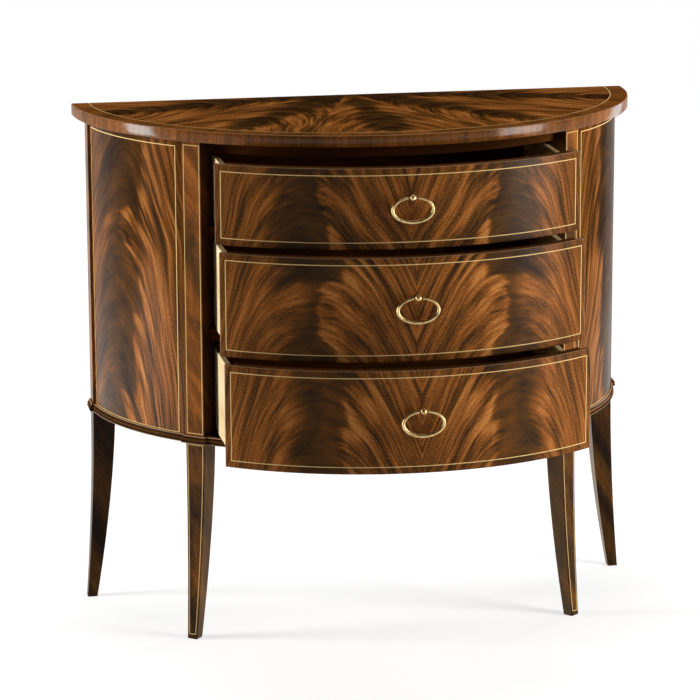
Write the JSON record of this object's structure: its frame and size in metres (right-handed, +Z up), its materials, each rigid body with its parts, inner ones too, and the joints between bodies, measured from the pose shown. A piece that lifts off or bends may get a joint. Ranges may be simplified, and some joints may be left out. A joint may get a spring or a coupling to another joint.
{
  "type": "demilune cabinet",
  "caption": "Half-round cabinet on splayed square legs, with bowed drawers that slide out on runners, inlaid stringing and hinged oval ring pulls",
  "frame": {"origin": "on the floor, at the middle of the box round the cabinet with its drawers pulled out in steps", "axes": "+X to the right seen from the front, +Y to the wall behind, +Z up; the drawers face -Y"},
  "size_m": [0.9604, 0.6288, 0.86],
  "materials": {
    "flame_veneer": "polished flame mahogany veneer with pale stringing",
    "cross_veneer": "polished mahogany crossbanding and mouldings",
    "drawer_maple": "satin light maple drawer linings",
    "interior_wood": "stained secondary wood",
    "antique_brass": "antique satin brass"
  },
  "bodies": {
    "case": {"top_board": "cross_veneer", "back_panel": "interior_wood", "bottom_board": "interior_wood", "left_side_panel": "flame_veneer", "right_side_panel": "flame_veneer", "left_front_leg": "flame_veneer", "right_front_leg": "flame_veneer", "left_rear_leg": "flame_veneer", "right_rear_leg": "flame_veneer", "left_partition": "interior_wood", "right_partition": "interior_wood", "top_rail": "interior_wood", "upper_divider": "interior_wood", "middle_divider": "interior_wood", "left_kicker": "interior_wood", "right_kicker": "interior_wood", "left_upper_runner": "interior_wood", "right_upper_runner": "interior_wood", "left_middle_runner": "interior_wood", "right_middle_runner": "interior_wood", "left_lower_runner": "interior_wood", "right_lower_runner": "interior_wood", "front_moulding": "cross_veneer", "left_post_moulding": "cross_veneer", "right_post_moulding": "cross_veneer", "left_side_moulding": "cross_veneer", "right_side_moulding": "cross_veneer", "left_rear_moulding": "cross_veneer", "right_rear_moulding": "cross_veneer"},
    "upper_drawer": {"upper_drawer_front": "flame_veneer", "upper_drawer_left_side": "drawer_maple", "upper_drawer_right_side": "drawer_maple", "upper_drawer_back": "interior_wood", "upper_drawer_bottom": "drawer_maple", "upper_pull_post": "antique_brass", "upper_pull_nut": "antique_brass"},
    "upper_ring_pull": {"upper_ring": "antique_brass"},
    "middle_drawer": {"middle_drawer_front": "flame_veneer", "middle_drawer_left_side": "drawer_maple", "middle_drawer_right_side": "drawer_maple", "middle_drawer_back": "interior_wood", "middle_drawer_bottom": "drawer_maple", "middle_pull_post": "antique_brass", "middle_pull_nut": "antique_brass"},
    "middle_ring_pull": {"middle_ring": "antique_brass"},
    "lower_drawer": {"lower_drawer_front": "flame_veneer", "lower_drawer_left_side": "drawer_maple", "lower_drawer_right_side": "drawer_maple", "lower_drawer_back": "interior_wood", "lower_drawer_bottom": "drawer_maple", "lower_pull_post": "antique_brass", "lower_pull_nut": "antique_brass"},
    "lower_ring_pull": {"lower_ring": "antique_brass"}
  },
  "joints": [
    {"name": "upper_drawer_slide", "type": "slide", "parent": "case", "child": "upper_drawer", "axis": [0, -1, 0], "range_m": [-0.1176, 0.1074]},
    {"name": "middle_drawer_slide", "type": "slide", "parent": "case", "child": "middle_drawer", "axis": [0, -1, 0], "range_m": [-0.1594, 0.0656]},
    {"name": "lower_drawer_slide", "type": "slide", "parent": "case", "child": "lower_drawer", "axis": [0, -1, 0], "range_m": [-0.2018, 0.0232]},
    {"name": "upper_ring_swing", "type": "hinge", "parent": "upper_drawer", "child": "upper_ring_pull", "pos_m": [0, -0.2246, 0.7773], "axis": [-1, 0, 0], "range_deg": [-12, 192]},
    {"name": "middle_ring_swing", "type": "hinge", "parent": "middle_drawer", "child": "middle_ring_pull", "pos_m": [0, -0.2664, 0.6248], "axis": [-1, 0, 0], "range_deg": [-12, 192]},
    {"name": "lower_ring_swing", "type": "hinge", "parent": "lower_drawer", "child": "lower_ring_pull", "pos_m": [0, -0.3088, 0.4523], "axis": [-1, 0, 0], "range_deg": [-12, 192]}
  ]
}
